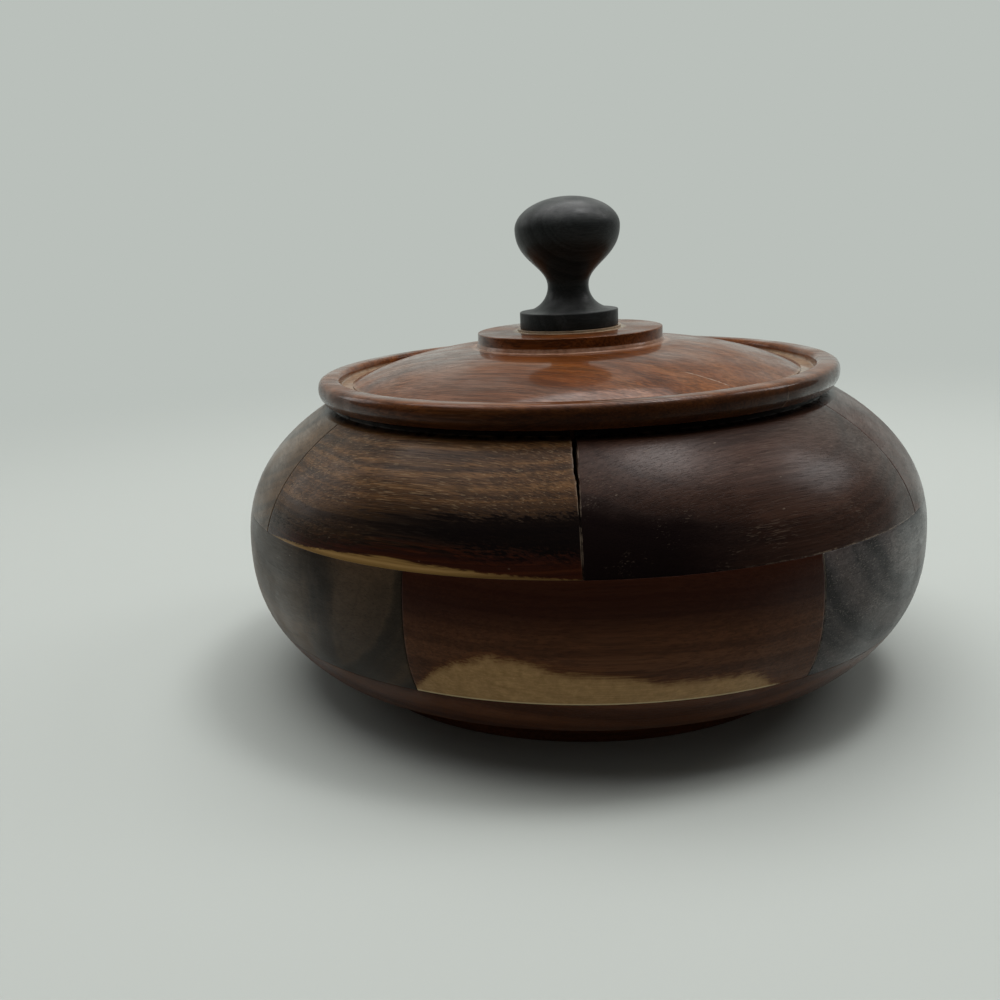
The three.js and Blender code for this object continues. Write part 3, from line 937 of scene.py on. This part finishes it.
def collar_pit(tree, seen, wood):
    """One tiny open pore on the top of the collar."""
    pit = (-11.8, 8.0, collar_top)
    off = add(tree, "VectorMath", {0: place_in_mm(tree), 1: pit}, operation="DISTANCE").outputs["Value"]
    return mix(tree, step(tree, off, 0.5, 0.3), seen, colour("050302"))


gloss = dict(satin, roughness=0.4, specular=0.06, coat=1.0, coat_roughness=0.1, coat_ior=1.45,
             relief=0.25, figure=0.42, veins=0.22, dark_pores=0.45, pale_pores=0.1, flecks=0.06,
             fibres=0.7, edges=0.1)
lid_tones = ("3a1c09", "643512", "7c4a20", "b08c6c")
for name, side, seed in (("lid_front_board", -1, 41.0), ("lid_back_board", 1, 40.0)):
    grain = {"Grain turn": lid_grain_angle, "Layer tilt": math.radians(24), "Spacing": 4.6,
             "Wander": 3.0, "Seed": seed}
    material = wood_material(name.replace("_", " ").capitalize() + " wood", grain, lid_tones, gloss,
                             (rim_side_shade, seam_glue, lid_dust, collar_pit))
    show(name, lid_board(name, side), material, "lid")

# Knob
# Turned from one piece of nearly black wood: a flange, a hollow neck and a bell-shaped head. A tenon
# under the flange is glued into the lid. Dust lies on its upper side.

flange_radius = 11.3
flange_thickness = 3.8
flange_ease = 0.3
cove_margin = 0.6
waist_radius = 4.7
waist_height = 5.6
head_radius = 11.95
head_height = 13.1
crown_height = 7.0
bell_pull_below = 4.6
bell_pull_above = 7.2
flange_top = knob_seat + flange_thickness
waist = flange_top + waist_height
head = waist + head_height
neck_foot = flange_radius - cove_margin


def bell(share):
    """Point on the cubic curve from the waist out to the widest part of the head."""
    pulls = [Vector((waist_radius, waist)), Vector((waist_radius, waist + bell_pull_below)),
             Vector((head_radius, head - bell_pull_above)), Vector((head_radius, head))]
    while len(pulls) > 1:
        pulls = [first.lerp(second, share) for first, second in zip(pulls, pulls[1:])]
    return tuple(pulls[0])


knob_outline = eased([
    (0.0, knob_seat - tenon_length),
    (tenon_radius, knob_seat - tenon_length, 0.3),
    (tenon_radius, knob_seat),
    (flange_radius, knob_seat, flange_ease),
    (flange_radius, flange_top, flange_ease),
    *arc((neck_foot, waist), (waist_radius - neck_foot, -waist_height), math.pi / 2, 0.0, 18),
    *along(1 / 24, 1.0, 23, bell),
    *arc((0.0, head), (head_radius, crown_height), math.pi / 48, math.pi / 2, 23)[:-1],
    (0.0, head + crown_height),
])


def dusty(tree, seen, wood):
    """Grey dust and dried wax on what faces up."""
    facing_up = step(tree, split(tree, add(tree, "NewGeometry").outputs["Normal"])[2], 0.0, 1.0)
    patches = step(tree, cloud(tree, place_in_mm(tree), 0.22, 4.0, 0.6), 0.3, 0.75)
    share = calc(tree, "MULTIPLY_ADD", patches, 0.45, 0.1)
    return laid_over(tree, seen, facing_up, share, colour("6a6a69"))


ebony = dict(satin, roughness=0.4, specular=0.1, coat=0.36, coat_roughness=0.22, dull_below=0.005,
             relief=0.25, flecks=0.05, pale_pores=0.06)
knob_grain = {"Grain turn": 0.3, "Layer tilt": math.radians(70), "Spacing": 3.0, "Wander": 1.0,
              "Seed": 60.0}
knob_tones = ("111312", "292c2c", "343636", "4a4a48")
knob_wood = wood_material("Knob wood", knob_grain, knob_tones, ebony, (dusty,))
show("knob", turned("knob", knob_outline, segments=160), knob_wood, "lid")

# Studio
# A pale paper sweep under and behind the bowl, a broad soft light overhead with three smaller ones
# round it that draw the sheen, and the camera in front, looking a little down.

# Sizes here are in metres.
sweep_front = -1.6
sweep_bend = 0.55
sweep_radius = 0.35
sweep_height = 1.6
sweep_half_width = 1.8
backdrop_tone = colour("bac0bb")

bend = arc((sweep_bend, sweep_radius), (sweep_radius, sweep_radius), -math.pi / 2, 0.0, 24)
sweep_path = [(sweep_front, 0.0), *bend, (sweep_bend + sweep_radius, sweep_height)]
sweep_points = [(x, y, z) for y, z in sweep_path for x in (-sweep_half_width, sweep_half_width)]
sweep_faces = [(2 * n, 2 * n + 1, 2 * n + 3, 2 * n + 2) for n in range(len(sweep_path) - 1)]
sweep_mesh = bpy.data.meshes.new("sweep")
sweep_mesh.from_pydata(sweep_points, [], sweep_faces)
sweep_mesh.shade_smooth()
sweep = bpy.data.objects.new("sweep", sweep_mesh)
bpy.context.scene.collection.objects.link(sweep)
paper = bpy.data.materials.new("Pale paper")
paper.use_nodes = True
tree = paper.node_tree
paper_shader = tree.nodes["Principled BSDF"]
paper_shader.inputs["Roughness"].default_value = 0.9
paper_shader.inputs["Specular IOR Level"].default_value = 0.2
# Away from the bowl the sweep is an even pale backdrop to the eye and in the wood's gloss.
backdrop = add(tree, "Emission", {"Color": backdrop_tone, "Strength": 1.0}).outputs[0]
spot = add(tree, "TexCoord").outputs["Object"]
from_bowl = add(tree, "VectorMath", {0: spot}, operation="LENGTH").outputs["Value"]
rays = add(tree, "LightPath").outputs
looked_at = calc(tree, "MAXIMUM", rays["Is Camera Ray"], rays["Is Glossy Ray"])
paper_tone = mix(tree, looked_at, colour("8f9490"), colour("babfba"))
tree.links.new(paper_tone, paper_shader.inputs["Base Color"])
share = calc(tree, "MULTIPLY", looked_at, step(tree, from_bowl, 0.2, 0.6))
either = add(tree, "MixShader", {0: share, 1: paper_shader.outputs[0], 2: backdrop})
tree.links.new(either.outputs[0], tree.nodes["Material Output"].inputs["Surface"])
sweep_mesh.materials.append(paper)

# Name, place, width, depth, and power in watts of each soft light. All face the bowl.
soft_lights = [("overhead softbox", (-0.05, 0.13, 1.05), 1.3, 1.1, 12.0),
               ("small softbox overhead", (0.32, 0.04, 1.05), 0.25, 0.25, 2.6),
               ("tall softbox at the right", (0.86, 0.19, 0.76), 0.3, 0.5, 1.9),
               ("softbox at the left", (-0.84, 0.43, 0.5), 0.45, 0.45, 0.9)]
for name, place, width, depth, power in soft_lights:
    light = bpy.data.lights.new(name, "AREA")
    light.shape = "RECTANGLE"
    light.size, light.size_y = width, depth
    light.energy = power
    softbox = bpy.data.objects.new(name, light)
    softbox.location = place
    to_bowl = Vector((0.0, 0.0, 0.05)) - softbox.location
    softbox.rotation_euler = to_bowl.to_track_quat("-Z", "Y").to_euler()
    softbox.visible_camera = False
    bpy.context.scene.collection.objects.link(softbox)

world = bpy.data.worlds.new("Studio")
bpy.context.scene.world = world
world.use_nodes = True
tree = world.node_tree
seen_world = add(tree, "Background", {"Color": backdrop_tone, "Strength": 1.0})
room = add(tree, "Background", {"Color": (1.0, 0.97, 0.93, 1.0), "Strength": 0.09})
camera_ray = add(tree, "LightPath").outputs["Is Camera Ray"]
either = add(tree, "MixShader", {0: camera_ray, 1: room.outputs[0], 2: seen_world.outputs[0]})
tree.links.new(either.outputs[0], tree.nodes["World Output"].inputs["Surface"])

camera_data = bpy.data.cameras.new("camera")
camera_data.sensor_width = 36.0
camera_data.lens = 41.09
camera_data.shift_x = 0.1069
camera_data.clip_start = 0.01
camera = bpy.data.objects.new("camera", camera_data)
bpy.context.scene.collection.objects.link(camera)
camera_place = Vector((-26.62, -270.28, 106.44)) * MM
camera_yaw, camera_pitch, camera_roll = -0.0627, 0.2409, -0.0610
camera.matrix_world = (Matrix.Translation(camera_place) @ Matrix.Rotation(-camera_yaw, 4, "Z")
                       @ Matrix.Rotation(math.pi / 2 - camera_pitch, 4, "X")
                       @ Matrix.Rotation(camera_roll, 4, "Z"))
bpy.context.scene.camera = camera
bpy.context.scene.view_settings.view_transform = "Standard"
